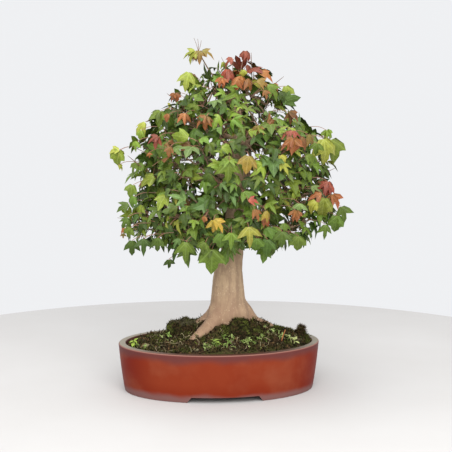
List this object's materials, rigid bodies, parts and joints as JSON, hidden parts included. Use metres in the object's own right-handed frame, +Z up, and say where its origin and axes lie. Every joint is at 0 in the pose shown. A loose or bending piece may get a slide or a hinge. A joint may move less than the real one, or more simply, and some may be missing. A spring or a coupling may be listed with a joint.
{
  "type": "bonsai tree in a pot",
  "caption": "Broad-crowned deciduous bonsai with lobed leaves and a flared trunk, in mossy soil in a low oval stoneware pot on two long feet.",
  "frame": {"origin": "on the standing surface, under the middle of the whole object's bounding box", "axes": "+Z up, -Y towards the front of the tree, +X to the right seen from the front, along the pot's length"},
  "size_m": [0.3208, 0.2782, 0.4848],
  "materials": {
    "pot_stoneware": "semi-matt orange-red stoneware with mauve-brown rim and foot bands",
    "soil": "damp granular bonsai soil",
    "moss": "matt velvety moss",
    "seedling": "soft fresh leaf",
    "bark": "smooth pale tan bark with fine flecks",
    "foliage": "satin leaf, green with yellow, orange and red new growth",
    "screen_plastic": "moulded plastic mesh",
    "wire": "annealed brown-grey wire"
  },
  "bodies": {
    "root": {"pot": "pot_stoneware", "drain_screen_left": "screen_plastic", "screen_clip_left": "wire", "tie_wire_left": "wire", "drain_screen_right": "screen_plastic", "screen_clip_right": "wire", "tie_wire_right": "wire", "soil": "soil", "moss_mound_front": "moss", "moss_mound_left": "moss", "moss_mound_back": "moss", "moss_slope_right": "moss", "moss_tuft_right": "moss", "seedling_left": "seedling", "seedling_front": "seedling", "seedling_right": "seedling", "trunk": "bark", "foliage_low_1": "foliage", "foliage_low_2": "foliage", "foliage_low_3": "foliage", "foliage_low_4": "foliage", "foliage_low_5": "foliage", "foliage_low_6": "foliage", "foliage_low_7": "foliage", "foliage_low_8": "foliage", "foliage_middle_1": "foliage", "foliage_middle_2": "foliage", "foliage_middle_3": "foliage", "foliage_middle_4": "foliage", "foliage_middle_5": "foliage", "foliage_middle_6": "foliage", "foliage_middle_7": "foliage", "foliage_upper_1": "foliage", "foliage_upper_2": "foliage", "foliage_upper_3": "foliage", "foliage_upper_4": "foliage", "foliage_upper_5": "foliage", "foliage_upper_6": "foliage", "foliage_high_1": "foliage", "foliage_high_2": "foliage", "foliage_high_3": "foliage", "foliage_high_4": "foliage", "foliage_crown_1": "foliage", "foliage_crown_2": "foliage", "foliage_crown_3": "foliage", "leader_shoot": "foliage"}
  },
  "joints": []
}
